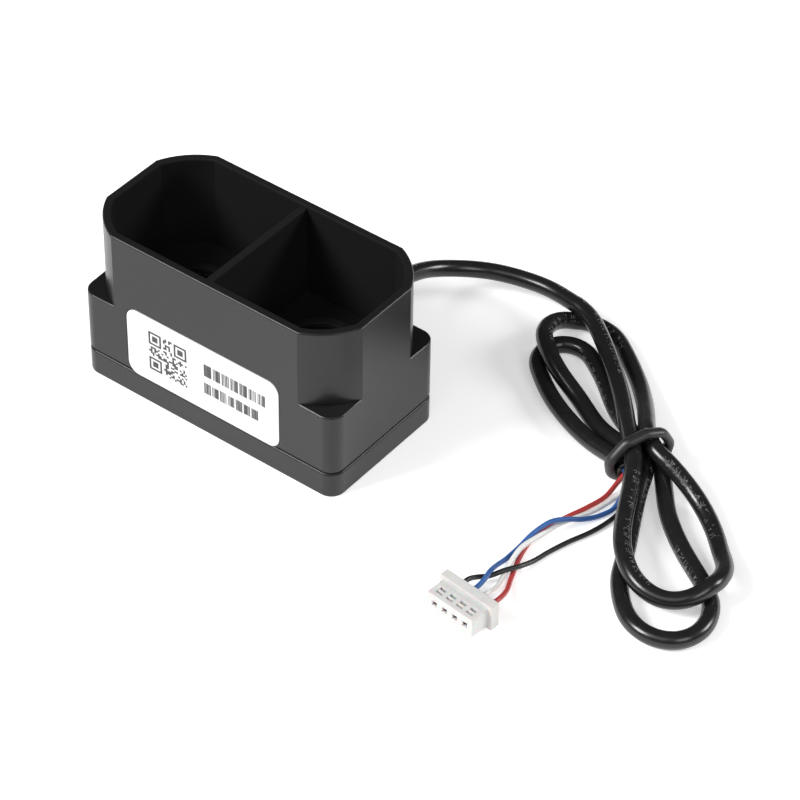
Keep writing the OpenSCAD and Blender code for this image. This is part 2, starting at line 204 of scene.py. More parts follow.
class Growth(Tree):
    """A Geometry Nodes tree with named inputs, whose result is kept as a plain mesh."""

    def __init__(self, name):
        self.group = bpy.data.node_groups.new(name, "GeometryNodeTree")
        super().__init__(self.group)
        self.values = {}

    def inputs(self, **values):
        """Adds named numbers to the tree and gives a Term for each."""
        for key, value in values.items():
            kind = "NodeSocketInt" if isinstance(value, int) else "NodeSocketFloat"
            socket = self.group.interface.new_socket(key, in_out="INPUT", socket_type=kind)
            self.values[socket.identifier] = value
        entry = self.node("NodeGroupInput")
        return [entry.output(key) for key in values]

    def vector(self, x, y, z):
        return self.node("ShaderNodeCombineXYZ", {}, {0: x, 1: y, 2: z})

    def chance(self, low, high, seed, number=None):
        """A random number for each point, or for each value of a counter."""
        sockets = {2: low, 3: high, "Seed": seed}
        if number:
            sockets["ID"] = number
        return self.node("FunctionNodeRandomValue", {"data_type": "FLOAT"}, sockets, 1)

    def points(self, count, place):
        return self.node("GeometryNodePoints", {}, {"Count": count, "Position": place})

    def box(self, x, y, z):
        return self.node("GeometryNodeMeshCube", {}, {"Size": self.vector(x, y, z)})

    def repeat(self, points, shape, **sockets):
        return self.node("GeometryNodeInstanceOnPoints", {},
                         {"Points": points, "Instance": shape, **sockets})

    def joined(self, *shapes):
        return self.node("GeometryNodeJoinGeometry", {}, {0: list(shapes)})

    def moved(self, shape, place, turn=(0, 0, 0)):
        return self.node("GeometryNodeTransform", {},
                         {"Geometry": shape, "Translation": place, "Rotation": turn})

    def grown(self, shape, material):
        """Realizes the instances, sets their material and gives the plain mesh."""
        whole = self.node("GeometryNodeRealizeInstances", {}, {0: shape})
        painted = self.node("GeometryNodeSetMaterial", {},
                            {"Geometry": whole, "Material": material})
        self.group.interface.new_socket("Shape", in_out="OUTPUT",
                                        socket_type="NodeSocketGeometry")
        self.node("NodeGroupOutput", {}, {"Shape": painted})
        host = bpy.data.objects.new(self.group.name, bpy.data.meshes.new(self.group.name))
        bpy.context.scene.collection.objects.link(host)
        modifier = host.modifiers.new("growth", "NODES")
        modifier.node_group = self.group
        for identifier, value in self.values.items():
            modifier[identifier] = value
        depsgraph = bpy.context.evaluated_depsgraph_get()
        mesh = bpy.data.meshes.new_from_object(host.evaluated_get(depsgraph))
        host.modifiers.remove(modifier)
        bpy.data.objects.remove(host)
        return mesh


# ---- finishes ----

def moulded_plastic(name, tone, roughness):
    """Black nylon from a spark-finished mould: a fine grain and a slow drift in its sheen."""
    paint = Paint(name)
    fine = paint.noise(0.16 * MM, 2)
    drift = paint.noise(9 * MM, 2)
    colour = paint.mix(fine * 0.6 + drift * 0.4, grey(tone * 0.85), grey(tone * 1.15))
    return paint.finish(Base_Color=colour, Roughness=drift * 0.1 + (roughness - 0.05),
                        Normal=paint.bump(fine, 0.008 * MM), Specular_IOR_Level=0.4)


def flat_black(name):
    """Light-absorbing paint inside the wells."""
    paint = Paint(name)
    grain = paint.noise(0.3 * MM, 3)
    colour = paint.mix(grain, grey(0.008), grey(0.012))
    return paint.finish(Base_Color=colour, Roughness=grain * 0.1 + 0.8,
                        Normal=paint.bump(grain, 0.03 * MM), Specular_IOR_Level=0.08)


def rubber(name, tone, roughness):
    """Matt black rubber with a cloudy bloom."""
    paint = Paint(name)
    bloom = paint.noise(1.2 * MM, 4)
    fine = paint.noise(0.2 * MM, 2)
    colour = paint.mix(bloom, grey(tone * 0.75), grey(tone * 1.35))
    return paint.finish(Base_Color=colour, Roughness=bloom * 0.18 + (roughness - 0.09),
                        Normal=paint.bump(fine, 0.01 * MM))


def label_film(name):
    """White film, a little wavy where it is stuck down."""
    paint = Paint(name)
    fibre = paint.noise(0.5 * MM, 4)
    wave = paint.noise(7 * MM, 1)
    colour = paint.mix(fibre, (0.7, 0.705, 0.71, 1), (0.76, 0.76, 0.76, 1))
    return paint.finish(Base_Color=colour, Roughness=fibre * 0.12 + 0.34,
                        Normal=paint.bump(wave, 0.05 * MM))


def label_ink(name):
    """Thermal print, patchy between black and dark grey."""
    paint = Paint(name)
    patch = paint.noise(0.25 * MM, 3)
    colour = paint.mix(patch, grey(0.02), grey(0.075))
    return paint.finish(Base_Color=colour, Roughness=patch * 0.2 + 0.4)


# Middle and half width of the strokes' row, as shares of the jacket's girth
PRINT_PLACE = 0.3
PRINT_HALF = 0.075


def cable_jacket(name):
    """Satin PVC with faint drawing lines, and a row of worn strokes along one side that
    form no characters."""
    paint = Paint(name)
    unrolled = paint.node("ShaderNodeUVMap", {"uv_map": "cord"})
    girth = unrolled.part(0)
    run = unrolled.part(1)
    lines = paint.noise(0.09, 2, stretch=(1, 0.4, 1), place=unrolled)
    scuff = paint.noise(1.6 * MM, 4)
    flat = paint.node("ShaderNodeCombineXYZ", {}, {0: girth * (math.pi * CABLE_D), 1: run})
    group = (run % (47 * MM)) < 24 * MM
    block = (run % (1.7 * MM)) < 1.15 * MM
    row = (girth - PRINT_PLACE).size() < PRINT_HALF
    stroke = (paint.noise(0.62 * MM, 0, place=flat) - 0.5).size() < 0.042
    left = paint.noise(2.6 * MM, 2) > 0.44
    mark = group * block * row * left * stroke
    colour = paint.mix(scuff, grey(0.008), grey(0.016))
    colour = paint.mix(mark * 0.5, colour, grey(0.3))
    return paint.finish(Base_Color=colour, Roughness=scuff * 0.1 + 0.2,
                        Normal=paint.bump(lines, 0.02 * MM))


def core_insulation(name, dark, light):
    """Extruded insulation, faintly streaked, with a thin gloss."""
    paint = Paint(name)
    streak = paint.noise(0.7 * MM, 3)
    colour = paint.mix(streak, (*dark, 1), (*light, 1))
    return paint.finish(Base_Color=colour, Roughness=streak * 0.15 + 0.35,
                        Normal=paint.bump(streak, 0.02 * MM), Coat_Weight=0.15)


def nylon(name):
    """Natural nylon: milky and uneven, and light spreads inside it."""
    paint = Paint(name)
    cloud = paint.noise(1.5 * MM, 3)
    fine = paint.noise(0.15 * MM, 2)
    colour = paint.mix(cloud, (0.57, 0.566, 0.552, 1), (0.67, 0.668, 0.656, 1))
    return paint.finish(Base_Color=colour, Roughness=fine * 0.12 + 0.36,
                        Normal=paint.bump(fine, 0.008 * MM), Subsurface_Weight=0.45,
                        Subsurface_Scale=0.6 * MM, IOR=1.53)


def metal(name, dark, light, roughness):
    """Plated or machined metal with a fine uneven grain."""
    paint = Paint(name)
    grain = paint.noise(0.4 * MM, 4)
    colour = paint.mix(grain, (*dark, 1), (*light, 1))
    return paint.finish(Base_Color=colour, Metallic=1.0,
                        Roughness=grain * 0.2 + (roughness - 0.1),
                        Normal=paint.bump(grain, 0.01 * MM))


def anodised(name):
    """Black anodised aluminium with the rings of its turning."""
    paint = Paint(name)
    rings = paint.noise(0.25 * MM, 3, stretch=(0.2, 0.2, 3))
    colour = paint.mix(rings, grey(0.008), grey(0.012))
    return paint.finish(Base_Color=colour, Roughness=rings * 0.15 + 0.55,
                        Normal=paint.bump(rings, 0.01 * MM), Specular_IOR_Level=0.1)


def coated_glass(name):
    """Lens glass with a violet and green bloom from its coating."""
    paint = Paint(name)
    bloom = paint.noise(5 * MM, 1)
    colour = paint.mix(bloom, (0.78, 0.86, 0.95, 1), (0.9, 0.86, 0.98, 1))
    return paint.finish(Base_Color=colour, Roughness=bloom * 0.01 + 0.015,
                        Transmission_Weight=0.95, IOR=1.52, Coat_Weight=1.0,
                        Coat_Tint=(0.55, 0.45, 0.95, 1))


def filter_glass(name):
    """Dark red glass that passes infrared."""
    paint = Paint(name)
    bloom = paint.noise(4 * MM, 1)
    colour = paint.mix(bloom, (0.05, 0.006, 0.012, 1), (0.1, 0.01, 0.02, 1))
    return paint.finish(Base_Color=colour, Roughness=bloom * 0.02 + 0.05, Coat_Weight=0.6)


def circuit_board(name):
    """Solder mask over copper: tracks on a grid, and a ground fill between them."""
    paint = Paint(name)
    jitter = paint.noise(3 * MM, 1)
    x = paint.place.part(0)
    y = paint.place.part(1)
    along_x = ((y + jitter * MM) % (1.1 * MM)) < 0.35 * MM
    along_y = ((x + jitter * MM) % (1.7 * MM)) < 0.35 * MM
    track = along_x * (jitter > 0.5) + along_y * (jitter < 0.5)
    colour = paint.mix(track, (0.008, 0.07, 0.03, 1), (0.02, 0.13, 0.055, 1))
    return paint.finish(Base_Color=colour, Roughness=jitter * 0.1 + 0.3,
                        Normal=paint.bump(track, 0.02 * MM))


def speckled(name, dark, light, roughness):
    """Ceramic, ferrite or chip epoxy: two tones in a fine grain."""
    paint = Paint(name)
    grain = paint.noise(0.3 * MM, 4)
    colour = paint.mix(grain, (*dark, 1), (*light, 1))
    return paint.finish(Base_Color=colour, Roughness=grain * 0.14 + (roughness - 0.07),
                        Normal=paint.bump(grain, 0.01 * MM))


HOUSING_BLACK = moulded_plastic("moulded_black", 0.010, 0.32)
COVER_BLACK = moulded_plastic("cover_black", 0.010, 0.34)
WELL_BLACK = flat_black("well_black")
SEAL_RUBBER = rubber("seal_rubber", 0.012, 0.6)
TIE_RUBBER = rubber("tie_rubber", 0.017, 0.42)
GROMMET_RUBBER = rubber("grommet_rubber", 0.016, 0.5)
FILM = label_film("label_film")
INK = label_ink("label_ink")
JACKET = cable_jacket("cable_jacket")
NYLON = nylon("natural_nylon")
TIN = metal("tin_plate", (0.5, 0.5, 0.5), (0.75, 0.75, 0.74), 0.32)
STEEL = metal("screw_steel", (0.42, 0.42, 0.43), (0.62, 0.62, 0.63), 0.34)
BRASS = metal("insert_brass", (0.55, 0.38, 0.14), (0.78, 0.58, 0.26), 0.36)
GILT = metal("gilt_can", (0.7, 0.5, 0.2), (0.9, 0.7, 0.36), 0.28)
ANODISED = anodised("black_anodised")
GLASS = coated_glass("coated_glass")
FILTER = filter_glass("filter_glass")
BOARD = circuit_board("circuit_board")
CERAMIC = speckled("ceramic_package", (0.66, 0.6, 0.46), (0.8, 0.76, 0.62), 0.5)
EPOXY = speckled("chip_epoxy", (0.012, 0.012, 0.013), (0.03, 0.03, 0.032), 0.45)
FERRITE = speckled("ferrite", (0.035, 0.035, 0.04), (0.09, 0.09, 0.1), 0.6)
CORES = {
    "wire_black": core_insulation("core_black", (0.006, 0.006, 0.007), (0.016, 0.016, 0.017)),
    "wire_blue": core_insulation("core_blue", (0.02, 0.085, 0.28), (0.04, 0.13, 0.38)),
    "wire_white": core_insulation("core_white", (0.7, 0.7, 0.68), (0.85, 0.85, 0.83)),
    "wire_red": core_insulation("core_red", (0.36, 0.028, 0.028), (0.5, 0.055, 0.05)),
}


# ---- making pieces ----

def new_piece(name, mesh, slot, *materials):
    """A finished piece at the origin that moves with the body."""
    mesh.name = name
    mesh.materials.clear()
    for material in materials:
        mesh.materials.append(material)
    piece = bpy.data.objects.new(name, mesh)
    bpy.context.scene.collection.objects.link(piece)
    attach(piece, BODY)
    return piece


def mesh_from(points, faces, smooth=True):
    mesh = bpy.data.meshes.new("shape")
    mesh.from_pydata([tuple(p) for p in points], [], faces)
    mesh.polygons.foreach_set("use_smooth", [smooth] * len(mesh.polygons))
    return mesh


SHARP_TURN = 35                         # degrees between the faces of an edge that is rounded


def soften(piece, width, segments=3):
    """Rounds the piece's outward edges, as a mould or a deburring tool does."""
    shape = bmesh.new()
    shape.from_mesh(piece.data)
    weight = shape.edges.layers.float.new("bevel_weight_edge")
    for edge in shape.edges:
        edge[weight] = float(edge.calc_face_angle_signed(0) > math.radians(SHARP_TURN))
    shape.to_mesh(piece.data)
    shape.free()
    bevel = piece.modifiers.new("edges", "BEVEL")
    bevel.width = width
    bevel.segments = segments
    bevel.limit_method = "WEIGHT"
    bevel.use_clamp_overlap = False
    even = piece.modifiers.new("even_shading", "WEIGHTED_NORMAL")
    even.keep_sharp = True


def crease(shape, degrees):
    """Smooth faces, with a sharp edge wherever two faces turn by more than this."""
    for face in shape.faces:
        face.smooth = True
    for edge in shape.edges:
        edge.smooth = edge.calc_face_angle(0) < math.radians(degrees)


def clean_copy(node):
    """A CAD node's surface as whole flat faces, smooth across its curves."""
    flat = math.radians(0.4)
    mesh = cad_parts[node].data.copy()
    shape = bmesh.new()
    shape.from_mesh(mesh)
    bmesh.ops.remove_doubles(shape, verts=shape.verts, dist=0.002 * MM)
    bmesh.ops.dissolve_limit(shape, angle_limit=flat, verts=shape.verts, edges=shape.edges)
    crease(shape, 9)
    shape.to_mesh(mesh)
    shape.free()
    for name in [layer.name for layer in mesh.uv_layers]:
        mesh.uv_layers.remove(mesh.uv_layers[name])
    return mesh


def turned(profile, axis):
    """A solid of revolution from a closed profile of radius and height, in millimetres.
    axis is the matrix that takes the upright axis to its place."""
    sides = 64
    points = []
    for radius, height in profile:
        for k in range(sides):
            a = 2 * math.pi * k / sides
            points.append(axis @ (Vector((radius * math.cos(a), radius * math.sin(a),
                                          height)) * MM))
    rings = len(profile)
    faces = [(i * sides + k, i * sides + (k + 1) % sides,
              (i + 1) % rings * sides + (k + 1) % sides, (i + 1) % rings * sides + k)
             for i in range(rings) for k in range(sides)]
    mesh = mesh_from(points, faces)
    shape = bmesh.new()
    shape.from_mesh(mesh)
    bmesh.ops.remove_doubles(shape, verts=shape.verts, dist=0.0005 * MM)
    bmesh.ops.recalc_face_normals(shape, faces=shape.faces)
    crease(shape, 32)
    shape.to_mesh(mesh)
    shape.free()
    return mesh


# ---- cords ----

def in_metres(points):
    return [Vector(p) * MM for p in points]


def smooth_route(points, step):
    """Evenly spaced points on the centripetal curve through a given route."""
    ends = [2 * points[0] - points[1], *points, 2 * points[-1] - points[-2]]
    fine = []
    for p0, p1, p2, p3 in zip(ends, ends[1:], ends[2:], ends[3:]):
        t1 = (p1 - p0).length ** 0.5
        t2 = t1 + (p2 - p1).length ** 0.5
        t3 = t2 + (p3 - p2).length ** 0.5
        count = max(4, round((p2 - p1).length / step * 3))
        for k in range(count):
            t = t1 + (t2 - t1) * k / count
            a1 = p0.lerp(p1, t / t1)
            a2 = p1.lerp(p2, (t - t1) / (t2 - t1))
            a3 = p2.lerp(p3, (t - t2) / (t3 - t2))
            b1 = a1.lerp(a2, t / t2)
            b2 = a2.lerp(a3, (t - t1) / (t3 - t1))
            fine.append(b1.lerp(b2, (t - t1) / (t2 - t1)))
    fine.append(points[-1])
    return evenly(np.array(fine), step)


def evenly(line, step):
    """The same line with its points about one step apart."""
    run = np.concatenate([[0], np.cumsum(np.linalg.norm(np.diff(line, axis=0), axis=1))])
    count = max(2, round(run[-1] / step) + 1)
    at = np.linspace(0, run[-1], count)
    return np.stack([np.interp(at, run, line[:, k]) for k in range(3)], axis=1)


def settle(path, radius, hold):
    """Lets a cable that was laid along its route sink to the floor and slide off its own
    strands.
    hold says how firmly each point is kept where it was laid, from 0 to 1."""
    rounds = 80
    sink = 0.004 * MM
    line = path.copy()
    gap = np.linalg.norm(np.diff(path, axis=0), axis=1).mean()
    first, second = np.triu_indices(len(line), k=math.ceil(5 * radius / gap))
    for _ in range(rounds):
        line[:, 2] -= sink
        line += (path - line) * hold[:, None]
        line[1:-1] += 0.3 * ((line[:-2] + line[2:]) / 2 - line[1:-1])
        line[3:-3, 2] += 0.1 * ((line[:-6, 2] + line[6:, 2]) / 2 - line[3:-3, 2])
        across = line[first] - line[second]
        distance = np.linalg.norm(across, axis=1)
        touch = distance < 2 * radius
        shove = 0.3 * across[touch] * ((2 * radius - distance[touch]) / distance[touch])[:, None]
        np.add.at(line, first[touch], shove)
        np.add.at(line, second[touch], -shove)
        link = np.diff(line, axis=0)
        stretch = np.linalg.norm(link, axis=1)[:, None]
        fix = 0.25 * link * (1 - gap / stretch)
        line[:-1] += fix
        line[1:] -= fix
        line[:, 2] = np.maximum(line[:, 2], radius)
    return line


def tube(path, radius, sides):
    """A closed round tube along a path, with a map of its girth and its run in metres."""
    path = [Vector(p) for p in path]
    count = len(path)
    along = [(path[min(i + 1, count - 1)] - path[max(i - 1, 0)]).normalized()
             for i in range(count)]
    side = along[0].cross(Vector((0, 0, 1)))
    side = side.normalized() if side.length > 0.01 else Vector((1, 0, 0))
    points, run, runs = [], 0.0, []
    for i, (p, t) in enumerate(zip(path, along)):
        side = (side - t * side.dot(t)).normalized()
        up = side.cross(t)
        run += (p - path[max(i - 1, 0)]).length
        runs.append(run)
        for k in range(sides):
            a = 2 * math.pi * k / sides
            points.append(p + radius * (math.cos(a) * side + math.sin(a) * up))
    faces = [(i * sides + k, i * sides + (k + 1) % sides,
              (i + 1) * sides + (k + 1) % sides, (i + 1) * sides + k)
             for i in range(count - 1) for k in range(sides)]
    caps = [tuple(range(sides))[::-1], tuple((count - 1) * sides + k for k in range(sides))]
    mesh = mesh_from(points, faces + caps)
    for cap in list(mesh.polygons)[-2:]:
        cap.use_smooth = False
    layer = mesh.uv_layers.new(name="cord")
    for face in list(mesh.polygons)[:-2]:
        low = face.index % sides
        for corner, (turn, ring) in zip(face.loop_indices, ((0, 0), (1, 0), (1, 1), (0, 1))):
            layer.data[corner].uv = ((low + turn) / sides, runs[face.index // sides + ring])
    mesh.flip_normals()
    return mesh


CABLE_STEP = 0.7 * MM                   # between the cable's points
CORE_STEP = 0.35 * MM                   # between a core's points

# The tie, in millimetres from above, and the strands' two rows in it
TIE_AT = Vector((57.3, 21.3))
TIE_HEADING = math.radians(-23)
TIE_HALF = 1.7
LOW_ROW = 2.8
TOP_ROW = 5.5

# The ways that the hank's loops lie from the tie
FRONT_HEADING = math.radians(-44)
REAR_HEADING = math.radians(144)


def from_tie(heading, ahead, aside, height):
    """A point ahead of the tie and to the left of a heading, in millimetres."""
    return (TIE_AT.x + ahead * math.cos(heading) - aside * math.sin(heading),
            TIE_AT.y + ahead * math.sin(heading) + aside * math.cos(heading), height)


def lane(rear_aside, front_aside, height):
    """A strand's way through the tie, from the rear to the front."""
    return [from_tie(TIE_HEADING, -TIE_HALF, rear_aside, height),
            from_tie(TIE_HEADING, TIE_HALF, front_aside, height)]


def bight(heading, centre, reach, spread, heights):
    """The round end of a loop of the hank, seen from the tie along a heading."""
    points = []
    for k, height in enumerate(heights):
        a = math.radians(-100 + 200 * k / (len(heights) - 1))
        points.append(from_tie(heading, centre[0] + reach * math.cos(a),
                               centre[1] + spread * math.sin(a), height))
    return points


# The lead from the rear wall to the hank, and the cut end of the jacket, in millimetres
LEAD = [(6.5, 9.9, 9), (6.5, 14, 9), (6.5, 19.5, 9), (6.5, 25, 8.8), (6.5, 29.6, 7.9),
        (6.9, 33.6, 6.6), (8.3, 37, 5.2), (10.9, 40.3, 4.3), (14.1, 42.7, 3.8),
        (18.3, 44.2, 3.6), (22.5, 44.8, 3.7), (26.2, 44.4, 4), (29, 43.6, 4.4)]
JACKET_END = (57.4, 18.1, 2.8)

# Each strand in the tie: how far aside at the rear and at the front, and its height
LANES = {"lead": (-0.5, -2.2, TOP_ROW), "back": (2.5, 1.7, TOP_ROW), "middle": (0, 0, LOW_ROW),
         "low_back": (2.8, 2.8, LOW_ROW), "low_front": (-2.8, -2.8, LOW_ROW)}


def leg(heading, *places):
    """The run of a strand between the tie and a loop's end: ahead, aside and height."""
    return [from_tie(heading, *place) for place in places]


def cable_route():
    """The whole cable: the lead, then two turns of the hank, and back into the tie."""
    lead_over_hank = leg(REAR_HEADING, (32.6, -2.9, 4.5), (27.7, -3.1, 4.3), (22.5, -2.9, 3.9),
                         (17, -2.3, 3.9), (9.8, -1.0, 4.3), (5.5, 0.1, 5.1))
    upper_front = (
        leg(FRONT_HEADING, (6.8, -2.5, 5), (12.3, -4.5, 4.3), (17.5, -6.1, 4.2))
        + bight(FRONT_HEADING, (22.5, 0.9), 8.8, 7.6, [4.3, 4, 3.2, 2.4, 3.1, 4.2, 4, 2.8, 1.7])
        + leg(FRONT_HEADING, (15.6, 8.5, 1.4), (9.8, 7.4, 2), (5.3, 5, 4.2)))
    upper_rear = (
        leg(REAR_HEADING, (7, -3.6, 4.4), (12, -5.1, 2.8), (18.5, -6.4, 1.5))
        + bight(REAR_HEADING, (27.5, -0.4), 7.6, 6.4, [1.4, 1.4, 1.4, 1.5, 2, 3, 3.9, 4.2, 4])
        + leg(REAR_HEADING, (22.5, 5.6, 3.4), (16.8, 3.9, 1.5), (9.6, 3, 1.4), (5.3, 1.6, 2.2)))
    lower_front = (
        leg(FRONT_HEADING, (7, -1.5, 2), (12.3, -3.4, 1.4), (18, -5.3, 1.4), (24, -7.6, 1.4))
        + bight(FRONT_HEADING, (29.5, -1.6), 8.2, 6.6, [1.4] * 9)
        + leg(FRONT_HEADING, (24, 4, 1.4), (17.9, 2.8, 1.4), (11.2, 2.3, 1.4), (6, 2.8, 1.6)))
    lower_rear = (
        leg(REAR_HEADING, (7, -1.4, 1.7), (13.2, -0.8, 1.4), (20, -1.3, 1.4))
        + bight(REAR_HEADING, (25.6, 3.3), 5, 4.6, [1.4] * 9)
        + leg(REAR_HEADING, (20.5, 8, 1.4), (15.3, 7.5, 1.4), (9.1, 6, 1.4), (4.8, 4.6, 1.9)))
    return (LEAD + lead_over_hank + lane(*LANES["lead"]) + upper_front
            + lane(*LANES["back"])[::-1] + upper_rear + lane(*LANES["middle"]) + lower_front
            + lane(*LANES["low_back"])[::-1] + lower_rear
            + [from_tie(TIE_HEADING, -TIE_HALF, -2.8, LOW_ROW), JACKET_END])


def cable_hold(path):
    """How firmly each point keeps its place: fixed in the grommet, gripped in the tie."""
    tied = in_metres([point for places in LANES.values() for point in lane(*places)])
    reach = np.min([np.linalg.norm(path - np.array(point), axis=1) for point in tied], axis=0)
    hold = np.where(reach < 2.2 * MM, 0.2, 0.04)
    inside = (path[:, 1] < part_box("cable_grommet")[1].y) & (path[:, 0] < 8 * MM)
    return np.where(inside, 1.0, hold)


def make_cable():
    laid = smooth_route(in_metres(cable_route()), CABLE_STEP)
    path = settle(laid, CABLE_D / 2, cable_hold(laid))
    mesh = tube(path, CABLE_D / 2, 16)
    piece = new_piece("cable", mesh, "jacket_pvc", JACKET)
    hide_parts("cable_lead", "cable_hank")
    return piece, path


# The plug, in millimetres: its corner, turn, pitch, first way, back and terminals' height
PLUG_AT = Vector((50, -22.3, 0))
PLUG_TURN = math.radians(-6)
PLUG_PITCH = 2
PLUG_EDGE = 1.5
PLUG_BACK = 5.1
PLUG_AXIS_Z = 2.2


def on_plug(u, v, height):
    """A point of the plug: across its ways, back from its mouth, and up, in millimetres."""
    return (PLUG_AT.x + u * math.cos(PLUG_TURN) - v * math.sin(PLUG_TURN),
            PLUG_AT.y + u * math.sin(PLUG_TURN) + v * math.cos(PLUG_TURN), height)


# Each core from the jacket's end to the plug's back, in millimetres
CORE_ROUTES = {
    "wire_black": [
        (57.6, 18.5, 3.2), (58.9, 17.3, 2.7), (59.8, 15.8, 1.7), (60.3, 14, 0.9),
        (60.5, 12, 0.5), (60.2, 8.4, 0.45), (59.4, 5.2, 0.45), (58.2, 2, 0.45),
        (57.2, -1.4, 0.45), (56.5, -5, 0.6), (55.9, -7.6, 1.2), (54.9, -9.8, 1.5),
        (53.7, -11.8, 1.2), (52.6, -13.4, 1.5)],
    "wire_blue": [
        (57.2, 17.7, 3.2), (58.6, 16.2, 2.7), (59.2, 14.2, 1.5), (59.3, 12, 0.5),
        (58.4, 9.2, 0.45), (57.2, 6.8, 0.9), (55.9, 4.6, 1.8), (54.6, 2.4, 2.2),
        (53.5, -0.6, 1.4), (53.1, -3.8, 0.5), (53.1, -7, 0.6), (53.3, -9.6, 1.4),
        (53.8, -12, 2.3), (54.2, -13.6, 2.4)],
    "wire_white": [
        (57.6, 18.5, 2.3), (58.2, 16.8, 1.6), (58.3, 14.8, 0.6), (57.9, 12.8, 0.45),
        (57.3, 10, 0.45), (56.1, 6.6, 0.7), (55.2, 3.8, 1), (54.6, 1, 1),
        (54.2, -1.8, 1.3), (54, -4.4, 1.5), (54.3, -7, 1.2), (55, -10, 0.8),
        (55.9, -13, 1.2)],
    "wire_red": [
        (57.2, 17.7, 2.3), (57, 15.9, 1.4), (56.8, 13.4, 0.5), (56, 9.8, 0.45),
        (54.9, 6.4, 0.45), (53.9, 3, 0.45), (53.5, -0.4, 0.45), (54, -3.8, 0.45),
        (55, -7, 0.45), (56.2, -10, 0.5), (57.6, -13, 1.3)],
}


def make_core(name, way):
    across = PLUG_EDGE + way * PLUG_PITCH
    route = CORE_ROUTES[name] + [on_plug(across, v, PLUG_AXIS_Z)
                                 for v in (PLUG_BACK + 2.3, PLUG_BACK + 0.4, PLUG_BACK - 1)]
    path = smooth_route(in_metres(route), CORE_STEP)
    path[:, 2] = np.maximum(path[:, 2], CORE_D / 2)
    mesh = tube(path, CORE_D / 2, 12)
    piece = new_piece(name + "_core", mesh, name + "_pvc", CORES[name])
    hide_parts(name)
    return piece, path


cable, cable_path = make_cable()
cores = [make_core(name, way) for way, name in enumerate(CORE_ROUTES)]


# ---- body ----

RIM_EDGE = 0.28 * MM                    # widths of the rounded edges
COVER_EDGE = 0.3 * MM
LEDGE_END = 21 * MM                     # the middle of each ledge's face lies further out
WELL_LOW = 13 * MM                      # just below the wells' floors


def mark_wells(mesh, rim_z):
    """Gives the wells' walls and floors the second material."""
    half_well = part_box("housing")[1].x / 2
    for face in mesh.polygons:
        middle = face.center
        well = Vector((math.copysign(half_well, middle.x), 0, middle.z))
        inward = face.normal.xy.dot((middle - well).xy) < 0 or face.normal.z > 0.5
        deck_or_wall = WELL_LOW < middle.z < rim_z - 0.5 * MM
        away_from_ledge = abs(middle.x) < LEDGE_END or face.normal.z < 0.5
        face.material_index = int(inward and deck_or_wall and away_from_ledge)


def make_housing():
    mesh = clean_copy("housing")
    piece = new_piece("housing_shell", mesh, "black_moulding", HOUSING_BLACK, WELL_BLACK)
    mark_wells(mesh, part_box("housing")[1].z)
    soften(piece, RIM_EDGE)
    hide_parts("housing")


def make_base_cover():
    piece = new_piece("base_cover_shell", clean_copy("base_cover"), "black_moulding",
                      COVER_BLACK)
    soften(piece, COVER_EDGE)
    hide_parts("base_cover")


make_housing()
make_base_cover()


# ---- label print ----

PRINT_THICK = 0.04 * MM                 # half of it stands out of the label


def square_code(growth, face_y):
    """A square of cells with three marked corners. The rest is chance and holds no data."""
    pitch, cells, seed = growth.inputs(code_pitch=0.362 * MM, code_cells=21, code_seed=7)
    number = growth.node("GeometryNodeInputIndex")
    column = number % cells
    row = (number / cells).floor()
    filled = growth.chance(0.0, 1.0, seed) > 0.5
    for corner in ((3, 3), (17, 3), (3, 17)):
        far = growth.maths("MAXIMUM", (column - corner[0]).size(), (row - corner[1]).size())
        ring = (far > 2.5) * (far < 3.5)
        filled = filled * (far > 4.5) + (far < 1.5) + ring
    place = growth.vector(column * pitch - 11.1 * MM, face_y, 14.72 * MM - row * pitch)
    cell = growth.box(pitch * 0.97, PRINT_THICK, pitch * 0.97)
    return growth.repeat(growth.points(cells * cells, place), cell, Selection=filled)


def bar_row(growth, face_y, start, end, low, high, seed):
    """A row of seven groups of bars of random widths."""
    number = growth.node("GeometryNodeInputIndex")
    group = (number / 5).floor()
    slot = (end - start) / 7
    x = group * slot + (number % 5) * (slot * 0.17) + (start + slot * 0.12)
    width = growth.chance(0.1, 0.3, seed)
    height = growth.chance(0.86, 1.0, seed, group)
    place = growth.vector(x * MM, face_y, (low + high) / 2 * MM)
    bar = growth.box(MM, PRINT_THICK, (high - low) * MM)
    return growth.repeat(growth.points(35, place), bar,
                         Scale=growth.vector(width, 1.0, height))


def make_print():
    growth = Growth("label_print")
    face_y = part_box("label")[0].y
    seed, = growth.inputs(bar_seed=3)
    mesh = growth.grown(growth.joined(
        square_code(growth, face_y),
        bar_row(growth, face_y, -0.3, 12, 11.7, 14.1, seed),
        bar_row(growth, face_y, -0.3, 10.6, 8.2, 10.4, seed + 1)), INK)
    new_piece("label_print", mesh, "label_film", INK)


make_print()


# ---- plug ----

def make_tabs():
    """The terminals' locking tabs, one in the middle of each window."""
    growth = Growth("locking_tabs")
    ways, pitch, wide, long, high = growth.inputs(
        ways=4, pitch=PLUG_PITCH * MM, tab_width=1.16 * MM, tab_length=0.42 * MM,
        tab_height=0.95 * MM)
    number = growth.node("GeometryNodeInputIndex")
    row = growth.points(ways, growth.vector(number * pitch + PLUG_EDGE * MM, 1.5 * MM,
                                            3.32 * MM))
    tabs = growth.repeat(row, growth.box(wide, long, high))
    placed = growth.moved(tabs, (PLUG_AT.x * MM, PLUG_AT.y * MM, 0), (0, 0, PLUG_TURN))
    piece = new_piece("plug_tabs", growth.grown(placed, NYLON), "natural_nylon", NYLON)
    soften(piece, 0.06 * MM, 2)
    return piece


def make_plug():
    piece = new_piece("plug_body", clean_copy("plug_housing"), "natural_nylon", NYLON)
    soften(piece, 0.12 * MM)
    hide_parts("plug_housing")
    return piece


plug = make_plug()
tabs = make_tabs()


